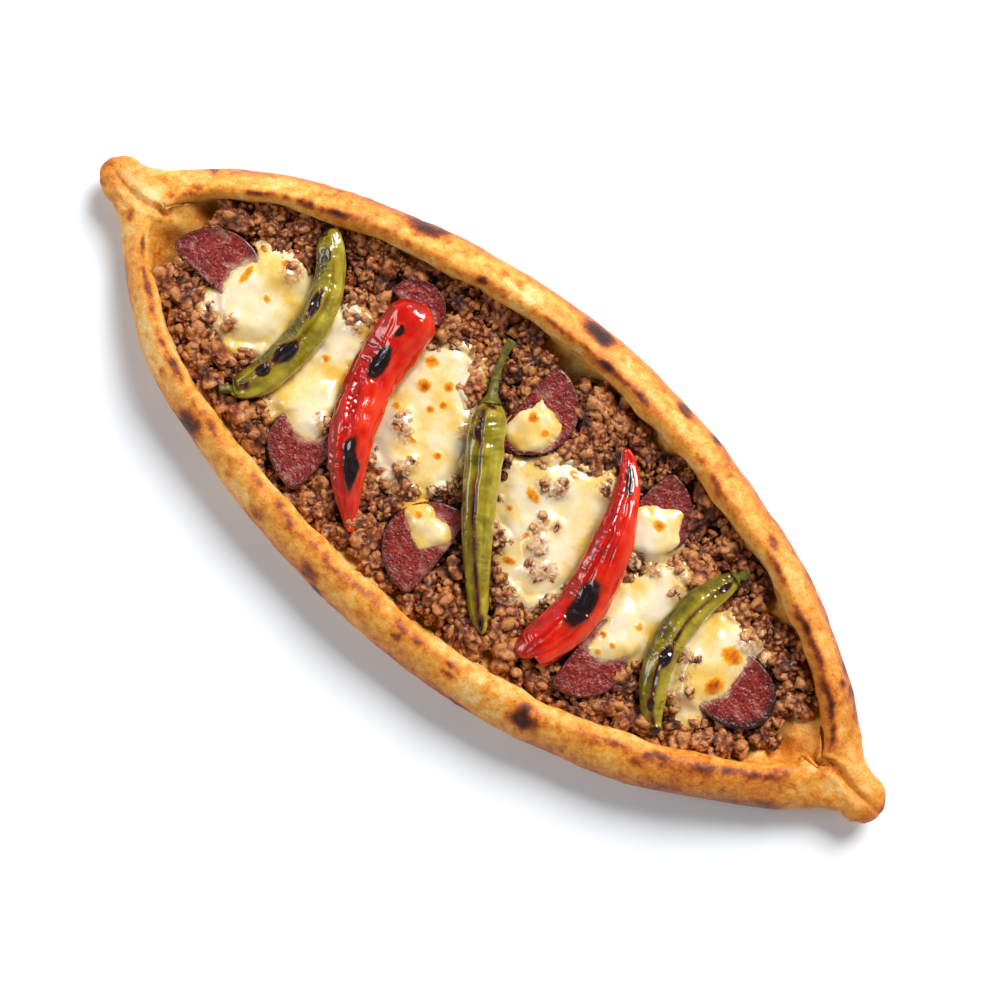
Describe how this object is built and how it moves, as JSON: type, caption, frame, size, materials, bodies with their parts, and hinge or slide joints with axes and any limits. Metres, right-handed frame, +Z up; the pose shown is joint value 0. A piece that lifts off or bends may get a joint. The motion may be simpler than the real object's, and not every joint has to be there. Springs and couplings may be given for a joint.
{
  "type": "turkish pide",
  "caption": "Boat-shaped baked flatbread with a rolled, toasted rim, filled with minced meat, melted cheese, sucuk slices and roasted peppers.",
  "frame": {"origin": "middle of the boat's length and width, on its flat underside", "axes": "+X along the boat towards one tip, +Y across it, +Z up, out of the filling"},
  "size_m": [0.36, 0.1396, 0.0263],
  "materials": {
    "crust": "baked dough, golden with toasted patches",
    "mince": "browned, crumbly minced meat with a little fat",
    "cheese": "melted cheese, cream to yellow with browned blisters",
    "sucuk": "cured beef sausage slice, coarse and slightly greasy",
    "green_pepper": "roasted green pepper, wrinkled and scorched",
    "red_pepper": "roasted red pepper, glossy, with charred blisters"
  },
  "bodies": {
    "root": {"crust": "crust", "mince": "mince", "cheese_1": "cheese", "cheese_2": "cheese", "cheese_3": "cheese", "cheese_4": "cheese", "cheese_5": "cheese", "cheese_6": "cheese", "cheese_7": "cheese", "cheese_8": "cheese", "cheese_9": "cheese", "sucuk_1": "sucuk", "sucuk_2": "sucuk", "sucuk_3": "sucuk", "sucuk_4": "sucuk", "sucuk_5": "sucuk", "sucuk_6": "sucuk", "sucuk_7": "sucuk", "sucuk_8": "sucuk", "green_pepper_1": "green_pepper", "green_pepper_2": "green_pepper", "green_pepper_3": "green_pepper", "red_pepper_1": "red_pepper", "red_pepper_2": "red_pepper"}
  },
  "joints": []
}
